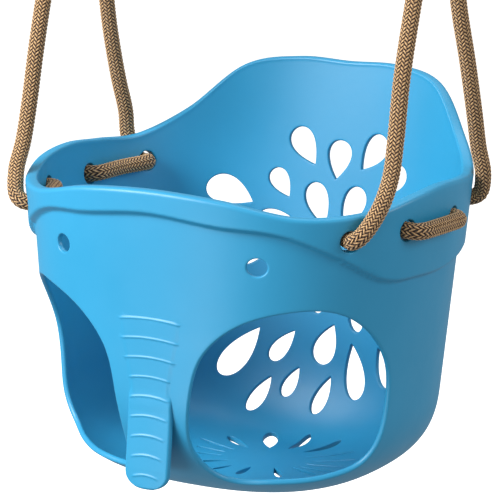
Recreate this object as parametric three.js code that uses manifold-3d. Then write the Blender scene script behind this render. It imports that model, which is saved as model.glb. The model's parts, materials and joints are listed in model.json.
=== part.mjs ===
// Toddler bucket swing on two ropes. Millimetres, +Z up, the front faces -Y.
// Heights are measured from the bucket's underside; the last step moves the frame's
// origin up to the line through the two points that the swing hangs from.

import * as THREE from "three";
import Module from "manifold-3d";
import { mergeVertices } from "three/addons/utils/BufferGeometryUtils.js";

const wasm = await Module();
wasm.setup();

// ---------------------------------------------------------------- driving sizes

// Bucket: half width, front depth and back depth each grow from the floor value to the
// side value over the corner height, then lean outwards by the draft.
const HALF_WIDTH = { floor: 13, side: 154, corner: 81, draft: 0.09 };
const FRONT_DEPTH = { floor: 0, side: 159, corner: 120, draft: 0 };
const BACK_DEPTH = { floor: 75, side: 122, corner: 89, draft: 0.17 };
const CORNER_POWER = 2.5;
const FRONT_PLAN_POWER = 2.4;
const BACK_PLAN_POWER = 2.35;
const WALL = 5;

// Raised band round the rim: [angle from the front, height]
const BAND = 5.5;
const BAND_STEP = 6;
const RIM_ROUND = 3;
const RIM_BEVEL = RIM_ROUND / 3; // the rim's edge is rounded in two flats that meet here
const RIM_HEIGHTS = [
  [0, 274], [20, 270], [40, 258], [60, 259], [75, 266], [90, 269],
  [105, 266], [120, 265], [135, 284], [150, 321], [165, 330], [180, 329],
];
const BORDER_HEIGHTS = [
  [0, 257], [20, 251], [35, 246], [50, 227], [65, 204], [80, 200],
  [95, 199], [110, 204], [125, 214], [140, 260], [155, 297], [180, 306],
];

// Right leg opening: [angle from the front, height] points of a closed smooth outline
const LEG_OUTLINE = [
  [72, 85], [71, 127], [60, 165], [46, 181], [28, 172], [16, 142],
  [12, 97], [12, 55], [20, 30], [36, 29], [53, 32], [66, 45],
];

// One oval eye and four round rope holes a side, placed by angle and height
const EYE = { degrees: 30, height: 217.5, width: 17, tall: 14.8 };
const ROPE_HOLES = [[53.3, 237.8], [72, 240], [97.2, 238.4], [121.2, 240.2]];
const ROPE_HOLE_DIAMETER = 17.5;
const HOLE_SIDES = 20;
const HOLE_CUT_OUTSIDE = 14; // how far the cutters reach past the wall's outer face
const HOLE_CUT_INSIDE = 12;
const LEG_CUT_OUTSIDE = 55;
const LEG_CUT_INSIDE = 14;
const LEG_STEPS = 4;

// Drops through the back wall: [x, height] of the round end, [x, height] of the tip, width
const BACK_DROPS = [
  [-113, 219, -77, 202, 24], [113, 219, 77, 202, 24],
  [-61, 231.5, -45, 208, 17], [67, 245, 50, 219, 19],
  [-44, 268, -23, 238, 22], [44, 268, 23, 238, 22], [1.5, 261, -2, 227, 23],
  [-24, 222, -9, 185, 22], [24, 222, 9, 185, 22],
  [-74, 183, -33, 184.5, 26], [74, 183, 33, 184.5, 26],
  [-92, 151, -56, 163.5, 17.2], [92, 151, 56, 163.5, 17.2],
  [-10.5, 109.6, -5, 138, 14], [33.5, 98.3, 24, 128, 13.5],
  [-90, 51, -61.5, 92, 22], [98, 62, 80, 100, 20],
  [-49.5, 65, -28.7, 92, 15], [-3.5, 66.5, 9, 101.5, 22],
  [-59, 23.5, -46, 51, 14], [-32, 36, -21, 61, 13], [0.5, 25.5, 11, 57, 14],
  [39.5, 41.5, 28.5, 87.5, 20.5], [73, 57, 56.5, 88, 18],
];
const DROP_SIDES = 16;
const DROP_BELLY = 0.77; // widest half width of the drop's formula
const DROP_CUT_FROM = 60; // how far back the drops' cutters start and end
const DROP_CUT_TO = 190;

// Sunburst of slots in the floor: [angle about its centre, from radius, to radius, width]
const FLOOR_CENTRE = [0, 35];
const FLOOR_SLOTS = [
  [8, 38, 80, 3], [27, 32, 74, 3], [54, 32, 69, 8], [84, 29, 62, 8],
  [118, 28, 62, 13], [154, 32, 63, 8], [175, 36, 73, 3], [190, 40, 66, 3],
  [204, 40, 62, 3], [225, 36, 62, 5], [249, 40, 62, 4], [273, 34, 60, 6],
  [308, 34, 64, 6], [331, 38, 76, 4], [341, 40, 80, 3], [353, 38, 80, 3],
];
const SLOT_CUT_FROM = -5;
const SLOT_CUT_TO = 45;

// Ribbed tongue that hangs down the front of the centre post
const TONGUE_END = 28;
const TONGUE_END_RADIUS = 13;
const TONGUE_END_STEPS = 10;
const TONGUE_HALF_WIDTH = 20.5;
const TONGUE_TOP = 174;
const TONGUE_TOP_HALF_WIDTH = 31;
const TONGUE_WIDENS = [112, 158]; // heights between which it grows to its top width
const TONGUE_TOP_CORNER = 4;
const TONGUE_CUT_HALF_WIDTH = 60;
const TONGUE_CUT_DEPTHS = [180, 140];
// [depth in front of the origin, height] of its front face, then of its back face
const TONGUE_FRONT = [[166.5, 28], [165.2, 45], [162.2, 70], [160, 92], [159.4, 112], [159.4, 174]];
const TONGUE_BACK = [[155.5, 174], [155.5, 108], [154.5, 92], [156.5, 70], [159.2, 45], [160.5, 28]];
const RIDGE_TOP = 168.5;
const RIDGE_PITCH = 16;
const RIDGE_WIDTHS = [60, 57, 51, 43, 38, 35, 32.5, 30, 26];
const RIDGE_THICKNESS = 3;
const RIDGE_PROUD = 1.3;
const RIDGE_SUNK = 1.5;

// Ropes, quick links, hexagon sleeves, rings and rope terminals
const ROPE_DIAMETER = 14;
const ROPE_SIDES = 9;
const ROPE_STEPS = 125;
const RING_X = 170;
const RING_Y = 16.6;
const RING_HEIGHT = 560.3;
const RING_RADIUS = 20;
const RING_WIRE = 6;
const RING_SIDES = 12;
const RING_STEPS = 40;
const LINK_WIRE = 8;
const LINK_LENGTH = 66;
const LINK_WIDTH = 26;
const LINK_GAP_FROM = 7.4;
const LINK_GAP_TO = 15;
const LINK_SIDES = 12;
const LINK_STEPS = 44;
const SLEEVE_FLATS = 13;
const SLEEVE_BORE = 8.6;
const SLEEVE_FROM = -7.6;
const SLEEVE_TO = 19.4;
const SLEEVE_CHAMFER = 1.5;
const SEAT_GAP = 0.3;
const LUG_THICKNESS = 6;
const LUG_WIDTH = 17;
const LUG_START = 11.5;
const LUG_HOLE_RADIUS = 4.2;
const LUG_OVERLAP = 2; // how far the lug runs into the barrel
const LUG_STEPS = 12;
const BARREL_START = 42;
const BARREL_END = 82;
const BARREL_DIAMETER = 22;
const BARREL_CHAMFER = 2;
const BARREL_SIDES = 20;

// Middle of the right rope: down the front leg, in and out of the four holes, up the back
const ROPE_ROUTE = [
  [172, -42, 410], [172, -57.5, 360], [172.8, -68, 315], [173, -77.5, 284], [170.6, -92.4, 261.3],
  [162.3, -104.4, 243], [156.7, -105, 238.9], [150.9, -102.1, 237.6], [145.6, -98.2, 238],
  [141.6, -91.9, 238.5], [143.2, -85, 239], [150.7, -71, 239.9], [156.3, -56.5, 240.6],
  [160.5, -50.7, 240.7], [167.5, -49.5, 240.3], [174.7, -51.1, 239.7], [181.7, -50, 239],
  [185.8, -44.1, 238.6], [187.6, -28.2, 238.3], [188.6, -3.2, 237.7], [188.6, 12.1, 237.4],
  [185.5, 18.4, 237.5], [178.8, 20.7, 238], [171.4, 20.2, 238.7], [164.7, 22.5, 239.4],
  [161.6, 28.9, 239.8], [157.3, 51.5, 240.6], [149.4, 73.4, 241.2], [148.8, 80.5, 241.2],
  [153.6, 86.3, 240.6], [159.4, 89.5, 239.8], [165.4, 92, 241], [169.7, 92.7, 244.7],
  [174, 88.3, 261.5], [172.3, 82, 285], [173, 72, 315], [172.5, 58.5, 360], [170, 45.5, 410],
];

// Places that follow from the sizes
const HINGE_HEIGHT = RING_HEIGHT + RING_RADIUS - RING_WIRE / 2 - SEAT_GAP - LINK_WIRE / 2;
const ORIGIN_HEIGHT = HINGE_HEIGHT + LINK_LENGTH - LINK_WIRE / 2;
const LINK_HEIGHT = HINGE_HEIGHT + LINK_LENGTH / 2;

// Mesh settings
const COLUMNS = 72;
const ROWS = 13;
const ROW_SPACING_POWER = 2.2; // rows stand closer together in the rounded bottom
const RIM_OVERHANG = 4; // how far inwards the body runs over the space that is cut out
const BODY_CAP_HEIGHT = 240;
const SPACE_CAP_HEIGHT = 345;
const SPACE_ABOVE_RIM = 15;
const NORMAL_STEP = 0.02; // half the distance, in degrees and in height, that a normal is taken over
const MERGE_DISTANCE = 1e-4;
const BORE_OVERRUN = 1; // how far the sleeve's bore cutter stands out at each end

// Colours
const SHELL_BLUE = 0x46b2e8;
const ROPE_TAN = 0xb98f58;
const METAL_BLACK = 0x0e0e10;
const TERMINAL_BLACK = 0x141414;

// ---------------------------------------------------------------- helpers

function toSolid(geometry) {
  const bare = geometry.index ? geometry.toNonIndexed() : geometry.clone();
  bare.deleteAttribute("normal");
  bare.deleteAttribute("uv");
  const merged = mergeVertices(bare, MERGE_DISTANCE);
  const mesh = new wasm.Mesh({
    numProp: 3,
    vertProperties: new Float32Array(merged.attributes.position.array),
    triVerts: new Uint32Array(merged.index.array),
  });
  mesh.merge();
  return new wasm.Manifold(mesh);
}

function toGeometry(solid) {
  const mesh = solid.getMesh();
  const geometry = new THREE.BufferGeometry();
  geometry.setAttribute("position", new THREE.BufferAttribute(mesh.vertProperties, 3));
  geometry.setIndex(new THREE.BufferAttribute(mesh.triVerts, 1));
  geometry.computeVertexNormals();
  return geometry;
}

// Smooth height at an angle: cubic pieces with level ends, the same on both sides
function smoothHeight(table, degrees) {
  const angle = Math.min(Math.abs(degrees), 180);
  let i = 0;
  while (i < table.length - 2 && angle >= table[i + 1][0]) {
    i += 1;
  }
  const slope = (k) => {
    if (k === 0 || k === table.length - 1) {
      return 0;
    }
    return (table[k + 1][1] - table[k - 1][1]) / (table[k + 1][0] - table[k - 1][0]);
  };
  const span = table[i + 1][0] - table[i][0];
  const t = (angle - table[i][0]) / span;
  const blend = t * t * (3 - 2 * t);
  const ease = t * (1 - t) * span * ((1 - t) * slope(i) - t * slope(i + 1));
  return table[i][1] * (1 - blend) + table[i + 1][1] * blend + ease;
}

function depthAt(size, height) {
  const u = THREE.MathUtils.clamp(1 - height / size.corner, 0, 1);
  const rise = (1 - u ** CORNER_POWER) ** (1 / CORNER_POWER);
  return size.floor + (size.side - size.floor) * rise + size.draft * height;
}

// Point of the bucket's outer face at an angle from the front and a height
function facePoint(degrees, height) {
  const angle = THREE.MathUtils.degToRad(degrees);
  const s = Math.sin(angle);
  const c = Math.cos(angle);
  const power = c > 0 ? FRONT_PLAN_POWER : BACK_PLAN_POWER;
  const radius = (Math.abs(s) ** power + Math.abs(c) ** power) ** (-1 / power);
  const depth = depthAt(c > 0 ? FRONT_DEPTH : BACK_DEPTH, height);
  return new THREE.Vector3(depthAt(HALF_WIDTH, height) * s * radius, -depth * c * radius, height);
}

function faceNormal(degrees, height) {
  if (height <= 0) {
    return new THREE.Vector3(0, 0, -1);
  }
  const across = facePoint(degrees + NORMAL_STEP, height).sub(facePoint(degrees - NORMAL_STEP, height));
  const step = Math.min(NORMAL_STEP, height / 2);
  const up = facePoint(degrees, height + step).sub(facePoint(degrees, height - step));
  return across.cross(up).normalize();
}

function wallPoint(degrees, height, offset) {
  return facePoint(degrees, height).addScaledVector(faceNormal(degrees, height), offset);
}

// Closed skin through rings of points, from the lowest ring up, with a cap at each end
function loft(rings, bottomPoint, topPoint) {
  const count = rings[0].length;
  const points = [...rings.flat(), bottomPoint, topPoint];
  const bottom = points.length - 2;
  const top = points.length - 1;
  const last = (rings.length - 1) * count;
  const faces = [];
  for (let k = 0; k < count; k += 1) {
    const next = (k + 1) % count;
    faces.push(bottom, next, k, top, last + k, last + next);
    for (let row = 0; row < last; row += count) {
      const a = row + k;
      const b = row + next;
      faces.push(a, b, b + count, a, b + count, a + count);
    }
  }
  const geometry = new THREE.BufferGeometry();
  const flat = points.flatMap((point) => [point.x, point.y, point.z]);
  geometry.setAttribute("position", new THREE.Float32BufferAttribute(flat, 3));
  geometry.setIndex(faces);
  return toSolid(geometry);
}

// Closed smooth outline through its points, with a few steps between each two
function smoothOutline(points, steps) {
  const curve = new THREE.CatmullRomCurve3(
    points.map(([x, y]) => new THREE.Vector3(x, y, 0)), true, "catmullrom", 0.5,
  );
  const places = Array.from({ length: points.length * steps }, (_, k) => k / (points.length * steps));
  return places.map((t) => {
    const point = curve.getPoint(t);
    return [point.x, point.y];
  });
}

// Prism between two loops of points that match one to one, seen along its own axis
function prism(outline, nearPoint, farPoint) {
  const flat = outline.map(([x, y]) => new THREE.Vector2(x, y));
  if (THREE.ShapeUtils.isClockWise(flat)) {
    flat.reverse();
  }
  const caps = THREE.ShapeUtils.triangulateShape(flat, []);
  const count = flat.length;
  const points = [...flat.map((p) => farPoint(p.x, p.y)), ...flat.map((p) => nearPoint(p.x, p.y))];
  const faces = [];
  for (const [a, b, c] of caps) {
    faces.push(a, c, b, a + count, b + count, c + count);
  }
  for (let k = 0; k < count; k += 1) {
    const next = (k + 1) % count;
    faces.push(k, next, next + count, k, next + count, k + count);
  }
  const geometry = new THREE.BufferGeometry();
  const list = points.flatMap((point) => [point.x, point.y, point.z]);
  geometry.setAttribute("position", new THREE.Float32BufferAttribute(list, 3));
  geometry.setIndex(faces);
  return toSolid(geometry);
}

function ovalOutline(halfWidth, halfHeight, sides) {
  return Array.from({ length: sides }, (_, k) => {
    const angle = (2 * Math.PI * k) / sides;
    return [halfWidth * Math.cos(angle), halfHeight * Math.sin(angle)];
  });
}

function circleOutline(radius, sides) {
  return ovalOutline(radius, radius, sides);
}

// Drop shape between the middle of its round end and its tip
function dropOutline(xRound, yRound, xTip, yTip, width) {
  const dx = xRound - xTip;
  const dy = yRound - yTip;
  const length = Math.hypot(dx, dy);
  return Array.from({ length: DROP_SIDES }, (_, k) => {
    const angle = (2 * Math.PI * k) / DROP_SIDES;
    const along = 0.5 - 0.5 * Math.cos(angle);
    const aside = (width / 2 / DROP_BELLY / length) * Math.sin(angle) * Math.sin(angle / 2);
    return [xTip + dx * along - dy * aside, yTip + dy * along + dx * aside];
  });
}

function extrudeUp(outline, from, to) {
  return prism(
    outline,
    (x, y) => new THREE.Vector3(x, y, to),
    (x, y) => new THREE.Vector3(x, y, from),
  );
}

// ---------------------------------------------------------------- bucket

function bucketRings(rowHeights, rowOffset) {
  return rowHeights.map((heightAt, row) => Array.from({ length: COLUMNS }, (_, k) => {
    const degrees = (360 * k) / COLUMNS - 180;
    return wallPoint(degrees, heightAt(degrees), rowOffset[row]);
  }));
}

const WALL_ROWS = Array.from({ length: ROWS }, (_, k) => (k / ROWS) ** ROW_SPACING_POWER);
const rim = (degrees) => smoothHeight(RIM_HEIGHTS, degrees);
const border = (degrees) => smoothHeight(BORDER_HEIGHTS, degrees);

function outerBody() {
  const rows = WALL_ROWS.map((part) => (degrees) => part * (border(degrees) - BAND_STEP));
  const offsets = WALL_ROWS.map(() => 0);
  const bandRows = [
    [(degrees) => border(degrees) - BAND_STEP, 0],
    [border, BAND],
    [(degrees) => (border(degrees) + rim(degrees)) / 2, BAND],
    [(degrees) => rim(degrees) - RIM_ROUND, BAND],
    [(degrees) => rim(degrees) - RIM_BEVEL, BAND - RIM_BEVEL],
    [rim, BAND - RIM_ROUND],
    [rim, -WALL - RIM_OVERHANG],
  ];
  for (const [heightAt, offset] of bandRows) {
    rows.push(heightAt);
    offsets.push(offset);
  }
  const middle = new THREE.Vector3(0, FLOOR_CENTRE[1], 0);
  return loft(bucketRings(rows, offsets), middle, new THREE.Vector3(0, 0, BODY_CAP_HEIGHT));
}

function innerSpace() {
  const rows = WALL_ROWS.map((part) => (degrees) => part * rim(degrees));
  rows.push(rim, (degrees) => rim(degrees) + SPACE_ABOVE_RIM);
  const middle = new THREE.Vector3(0, FLOOR_CENTRE[1], WALL);
  const top = new THREE.Vector3(0, 0, SPACE_CAP_HEIGHT);
  return loft(bucketRings(rows, rows.map(() => -WALL)), middle, top);
}

// Cutter through the wall from an outline in angle and height
function wallCutter(outline, outside, inside) {
  return prism(
    outline,
    (degrees, height) => wallPoint(degrees, height, outside),
    (degrees, height) => wallPoint(degrees, height, -inside),
  );
}

// Round or oval cutter square to the wall
function holeCutter(degrees, height, width, tall) {
  const middle = wallPoint(degrees, height, 0);
  const axis = faceNormal(degrees, height);
  const right = new THREE.Vector3(0, 0, 1).cross(axis).normalize();
  const up = axis.clone().cross(right);
  const place = (along) => (x, y) => middle.clone()
    .addScaledVector(right, x).addScaledVector(up, y).addScaledVector(axis, along);
  const outline = ovalOutline(width / 2, tall / 2, HOLE_SIDES);
  return prism(outline, place(HOLE_CUT_OUTSIDE), place(-HOLE_CUT_INSIDE));
}

function bothSides(outline) {
  return [outline, outline.map(([x, y]) => [-x, y])];
}

function shellCutters() {
  const cutters = [];
  for (const outline of bothSides(smoothOutline(LEG_OUTLINE, LEG_STEPS))) {
    cutters.push(wallCutter(outline, LEG_CUT_OUTSIDE, LEG_CUT_INSIDE));
  }
  for (const side of [-1, 1]) {
    cutters.push(holeCutter(side * EYE.degrees, EYE.height, EYE.width, EYE.tall));
    for (const [degrees, height] of ROPE_HOLES) {
      cutters.push(holeCutter(side * degrees, height, ROPE_HOLE_DIAMETER, ROPE_HOLE_DIAMETER));
    }
  }
  for (const drop of BACK_DROPS) {
    cutters.push(prism(
      dropOutline(...drop),
      (x, z) => new THREE.Vector3(x, DROP_CUT_FROM, z),
      (x, z) => new THREE.Vector3(x, DROP_CUT_TO, z),
    ));
  }
  for (const [degrees, from, to, width] of FLOOR_SLOTS) {
    const angle = THREE.MathUtils.degToRad(degrees);
    const at = (radius) => [
      FLOOR_CENTRE[0] + radius * Math.cos(angle), FLOOR_CENTRE[1] + radius * Math.sin(angle),
    ];
    const outline = dropOutline(...at(to), ...at(from), width);
    cutters.push(extrudeUp(outline, SLOT_CUT_FROM, SLOT_CUT_TO));
  }
  return cutters;
}

// Right half of the tongue's outline from the middle of its end to the middle of its top
function tongueHalf() {
  const half = [];
  for (let k = 0; k <= TONGUE_END_STEPS; k += 1) {
    const angle = (Math.PI / 2) * (k / TONGUE_END_STEPS - 1);
    half.push([
      TONGUE_HALF_WIDTH * Math.cos(angle),
      TONGUE_END + TONGUE_END_RADIUS * (1 + Math.sin(angle)),
    ]);
  }
  half.push([TONGUE_HALF_WIDTH, TONGUE_WIDENS[0]]);
  half.push([TONGUE_TOP_HALF_WIDTH, TONGUE_WIDENS[1]]);
  half.push([TONGUE_TOP_HALF_WIDTH - TONGUE_TOP_CORNER, TONGUE_TOP]);
  return half;
}

function tongue() {
  const side = [...TONGUE_FRONT, ...TONGUE_BACK];
  const slab = prism(
    side,
    (depth, height) => new THREE.Vector3(-TONGUE_CUT_HALF_WIDTH, -depth, height),
    (depth, height) => new THREE.Vector3(TONGUE_CUT_HALF_WIDTH, -depth, height),
  );
  const half = tongueHalf();
  const otherHalf = half.slice(1).reverse().map(([x, height]) => [-x, height]);
  const [nearDepth, farDepth] = TONGUE_CUT_DEPTHS;
  const shape = prism(
    [...half, ...otherHalf],
    (x, height) => new THREE.Vector3(x, -nearDepth, height),
    (x, height) => new THREE.Vector3(x, -farDepth, height),
  );
  return slab.intersect(shape);
}

// Front face of the tongue at a height, by straight pieces
function tongueDepth(height) {
  let k = 0;
  while (k < TONGUE_FRONT.length - 2 && height > TONGUE_FRONT[k + 1][1]) {
    k += 1;
  }
  const [depthA, heightA] = TONGUE_FRONT[k];
  const [depthB, heightB] = TONGUE_FRONT[k + 1];
  return depthA + ((depthB - depthA) * (height - heightA)) / (heightB - heightA);
}

// Bars across the tongue, a little higher in the middle than at the ends
function ridges() {
  return RIDGE_WIDTHS.map((width, k) => {
    const height = RIDGE_TOP - RIDGE_PITCH * k;
    const face = tongueDepth(height);
    const half = width / 2;
    const thick = RIDGE_THICKNESS / 2;
    const outline = [
      [-half, height - 3 * thick], [0, height - thick], [half, height - 3 * thick],
      [half, height - thick], [0, height + thick], [-half, height - thick],
    ];
    return prism(
      outline,
      (x, z) => new THREE.Vector3(x, -face - RIDGE_PROUD, z),
      (x, z) => new THREE.Vector3(x, -face + RIDGE_SUNK, z),
    );
  });
}

function bucketShell() {
  let shell = outerBody().subtract(innerSpace());
  shell = shell.subtract(wasm.Manifold.union(shellCutters()));
  shell = shell.add(tongue());
  shell = shell.add(wasm.Manifold.union(ridges()));
  return toGeometry(shell);
}

// ---------------------------------------------------------------- ropes and fittings

const ringCentre = new THREE.Vector3(RING_X, RING_Y, RING_HEIGHT);
const legEnds = {
  front: new THREE.Vector3(...ROPE_ROUTE[0]),
  back: new THREE.Vector3(...ROPE_ROUTE[ROPE_ROUTE.length - 1]),
};

function legDirection(leg) {
  return legEnds[leg].clone().sub(ringCentre).normalize();
}

function ropeGeometry() {
  const ends = ["front", "back"].map(
    (leg) => ringCentre.clone().addScaledVector(legDirection(leg), BARREL_END + SEAT_GAP),
  );
  const middle = ROPE_ROUTE.map((point) => new THREE.Vector3(...point));
  const path = new THREE.CatmullRomCurve3([ends[0], ...middle, ends[1]]);
  const section = new THREE.Shape();
  section.setFromPoints(
    circleOutline(ROPE_DIAMETER / 2, ROPE_SIDES).map(([x, y]) => new THREE.Vector2(x, y)),
  );
  return new THREE.ExtrudeGeometry(section, { steps: ROPE_STEPS, extrudePath: path });
}

// Ring that stands across the rope's two legs
function ringGeometry() {
  const geometry = new THREE.TorusGeometry(RING_RADIUS, RING_WIRE / 2, RING_SIDES, RING_STEPS);
  geometry.rotateY(Math.PI / 2);
  geometry.translate(ringCentre.x, ringCentre.y, ringCentre.z);
  return geometry;
}

class StadiumCurve extends THREE.Curve {
  constructor(from, to) {
    super();
    this.from = from;
    this.to = to;
  }

  // Oval centreline in the XZ plane, starting at the middle of its outer leg
  getPoint(t) {
    const radius = LINK_WIDTH / 2;
    const straight = LINK_LENGTH - LINK_WIDTH;
    const arc = Math.PI * radius;
    let along = this.from + (this.to - this.from) * t;
    if (along <= straight / 2) {
      return new THREE.Vector3(radius, 0, along);
    }
    along -= straight / 2;
    if (along <= arc) {
      const angle = along / radius;
      return new THREE.Vector3(radius * Math.cos(angle), 0, straight / 2 + radius * Math.sin(angle));
    }
    along -= arc;
    if (along <= straight) {
      return new THREE.Vector3(-radius, 0, straight / 2 - along);
    }
    along -= straight;
    if (along <= arc) {
      const angle = Math.PI + along / radius;
      return new THREE.Vector3(radius * Math.cos(angle), 0, -straight / 2 + radius * Math.sin(angle));
    }
    return new THREE.Vector3(radius, 0, along - arc - straight / 2);
  }
}

// Open oval rod: the gap in its outer leg is closed by the sleeve
function linkGeometry() {
  const round = 2 * (LINK_LENGTH - LINK_WIDTH) + Math.PI * LINK_WIDTH;
  const path = new StadiumCurve(LINK_GAP_TO, round + LINK_GAP_FROM);
  const section = new THREE.Shape();
  section.setFromPoints(
    circleOutline(LINK_WIRE / 2, LINK_SIDES).map(([x, y]) => new THREE.Vector2(x, y)),
  );
  const geometry = new THREE.ExtrudeGeometry(section, { steps: LINK_STEPS, extrudePath: path });
  geometry.translate(RING_X, RING_Y, LINK_HEIGHT);
  return geometry;
}

function sleeveGeometry() {
  const corner = SLEEVE_FLATS / Math.sqrt(3);
  const rings = [
    [SLEEVE_FROM, corner - SLEEVE_CHAMFER], [SLEEVE_FROM + SLEEVE_CHAMFER, corner],
    [SLEEVE_TO - SLEEVE_CHAMFER, corner], [SLEEVE_TO, corner - SLEEVE_CHAMFER],
  ].map(([height, radius]) => circleOutline(radius, 6).map(([x, y]) => new THREE.Vector3(x, y, height)));
  const body = loft(rings, new THREE.Vector3(0, 0, SLEEVE_FROM), new THREE.Vector3(0, 0, SLEEVE_TO));
  const bore = extrudeUp(
    circleOutline(SLEEVE_BORE / 2, HOLE_SIDES),
    SLEEVE_FROM - BORE_OVERRUN,
    SLEEVE_TO + BORE_OVERRUN,
  );
  const geometry = toGeometry(body.subtract(bore));
  geometry.translate(RING_X + LINK_WIDTH / 2, RING_Y, LINK_HEIGHT);
  return geometry;
}

// Rope terminal: a flat lug with a hole for the ring's wire, and the barrel on the rope
function ferruleGeometry(leg) {
  const direction = legDirection(leg);
  const across = new THREE.Vector3(1, 0, 0).addScaledVector(direction, -direction.x).normalize();
  const tangent = direction.clone().cross(across);
  const frame = (x, y, along) => ringCentre.clone()
    .addScaledVector(across, x).addScaledVector(tangent, y).addScaledVector(direction, along);
  const barrelRadius = BARREL_DIAMETER / 2;
  const barrelRings = [
    [BARREL_START, barrelRadius - BARREL_CHAMFER],
    [BARREL_START + BARREL_CHAMFER, barrelRadius],
    [BARREL_END - BARREL_CHAMFER, barrelRadius],
    [BARREL_END, barrelRadius - BARREL_CHAMFER],
  ].map(([along, radius]) => circleOutline(radius, BARREL_SIDES).map(([x, y]) => frame(x, y, along)));
  const barrel = loft(barrelRings, frame(0, 0, BARREL_START), frame(0, 0, BARREL_END));
  const eye = RING_RADIUS;
  const lugOutline = [];
  const half = LUG_WIDTH / 2;
  for (let k = 0; k <= LUG_STEPS; k += 1) {
    const angle = Math.PI + (Math.PI * k) / LUG_STEPS;
    lugOutline.push([half * Math.cos(angle), eye + (eye - LUG_START) * Math.sin(angle)]);
  }
  lugOutline.push([half, BARREL_START + LUG_OVERLAP], [-half, BARREL_START + LUG_OVERLAP]);
  const lug = prism(
    lugOutline,
    (x, along) => frame(x, -LUG_THICKNESS / 2, along),
    (x, along) => frame(x, LUG_THICKNESS / 2, along),
  );
  const hole = prism(
    circleOutline(LUG_HOLE_RADIUS, HOLE_SIDES).map(([x, y]) => [x, eye + y]),
    (x, along) => frame(x, -LUG_THICKNESS, along),
    (x, along) => frame(x, LUG_THICKNESS, along),
  );
  return toGeometry(barrel.add(lug).subtract(hole));
}

// ---------------------------------------------------------------- assembly

const swing = new THREE.Group();
const heights = new THREE.Group();
heights.position.set(0, -RING_Y, -ORIGIN_HEIGHT);
swing.add(heights);

function addNode(name, geometry, color, metalness, roughness) {
  const material = new THREE.MeshStandardMaterial({ color, metalness, roughness, name: `${name}_material` });
  const mesh = new THREE.Mesh(geometry, material);
  mesh.name = name;
  heights.add(mesh);
}

// The same body on the other side, with its faces turned back outwards
function mirrored(geometry) {
  const plain = geometry.index ? geometry.toNonIndexed() : geometry.clone();
  const place = plain.attributes.position;
  const second = new THREE.Vector3();
  const third = new THREE.Vector3();
  for (let k = 0; k < place.count; k += 1) {
    place.setX(k, -place.getX(k));
  }
  for (let k = 0; k < place.count; k += 3) {
    second.fromBufferAttribute(place, k + 1);
    third.fromBufferAttribute(place, k + 2);
    place.setXYZ(k + 1, third.x, third.y, third.z);
    place.setXYZ(k + 2, second.x, second.y, second.z);
  }
  plain.deleteAttribute("normal");
  plain.deleteAttribute("uv");
  const merged = mergeVertices(plain, MERGE_DISTANCE);
  merged.computeVertexNormals();
  return merged;
}

function addPair(name, geometry, color, metalness, roughness) {
  addNode(`right_${name}`, geometry, color, metalness, roughness);
  addNode(`left_${name}`, mirrored(geometry), color, metalness, roughness);
}

addNode("bucket_shell", bucketShell(), SHELL_BLUE, 0, 0.45);
addPair("rope", ropeGeometry(), ROPE_TAN, 0, 0.9);
addPair("link", linkGeometry(), METAL_BLACK, 0.6, 0.25);
addPair("link_sleeve", sleeveGeometry(), METAL_BLACK, 0.6, 0.25);
addPair("ring", ringGeometry(), METAL_BLACK, 0.6, 0.25);
addPair("front_ferrule", ferruleGeometry("front"), TERMINAL_BLACK, 0, 0.4);
addPair("back_ferrule", ferruleGeometry("back"), TERMINAL_BLACK, 0, 0.4);

export default swing;
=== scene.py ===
"""Toddler bucket swing: the finished surfaces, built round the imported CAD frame.

Bucket sizes are in millimetres, with heights above the underside, as in the CAD. place()
turns them into metres in the frame. The front faces -Y.
"""
import json
import math

import bmesh
import bpy
import numpy as np
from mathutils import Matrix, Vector
from mathutils.geometry import delaunay_2d_cdt
from mathutils.kdtree import KDTree


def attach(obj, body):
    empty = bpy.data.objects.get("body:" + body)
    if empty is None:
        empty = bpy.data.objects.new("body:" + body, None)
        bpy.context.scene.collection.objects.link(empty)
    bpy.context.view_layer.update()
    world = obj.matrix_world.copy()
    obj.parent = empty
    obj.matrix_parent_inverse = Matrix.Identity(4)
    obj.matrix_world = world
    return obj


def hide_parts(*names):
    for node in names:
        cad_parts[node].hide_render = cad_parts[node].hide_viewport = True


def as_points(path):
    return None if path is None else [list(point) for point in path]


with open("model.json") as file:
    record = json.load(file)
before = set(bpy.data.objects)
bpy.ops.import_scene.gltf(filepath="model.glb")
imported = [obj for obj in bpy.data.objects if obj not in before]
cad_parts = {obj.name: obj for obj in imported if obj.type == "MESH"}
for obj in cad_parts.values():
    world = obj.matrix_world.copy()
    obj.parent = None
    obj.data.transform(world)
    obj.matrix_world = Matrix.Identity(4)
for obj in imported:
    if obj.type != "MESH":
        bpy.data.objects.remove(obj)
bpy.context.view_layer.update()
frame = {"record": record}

# ------------------------ sizes, in millimetres

# Bucket: (floor value, side value, corner height, draft) of each half size
HALF_WIDTH = (13.0, 154.0, 81.0, 0.09)
FRONT_DEPTH = (0.0, 159.0, 120.0, 0.0)
BACK_DEPTH = (75.0, 122.0, 89.0, 0.17)
CORNER_POWER = 2.5
FRONT_PLAN_POWER = 2.4
BACK_PLAN_POWER = 2.35
WALL = 5.0
FLOOR_CENTRE = (0.0, 35.0)

BAND = 5.5
BAND_STEP = 5.0
RIM_ROUND = 3.5
RIM_INNER_ROUND = 2.0
RIM_HEIGHTS = (
    (0, 274), (20, 270), (40, 258), (60, 259), (75, 266), (90, 269),
    (105, 266), (120, 265), (135, 284), (150, 321), (165, 330), (180, 329),
)
BORDER_HEIGHTS = (
    (0, 257), (20, 251), (35, 246), (50, 227), (65, 204), (80, 200),
    (95, 199), (110, 204), (125, 214), (140, 260), (155, 297), (180, 306),
)

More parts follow.
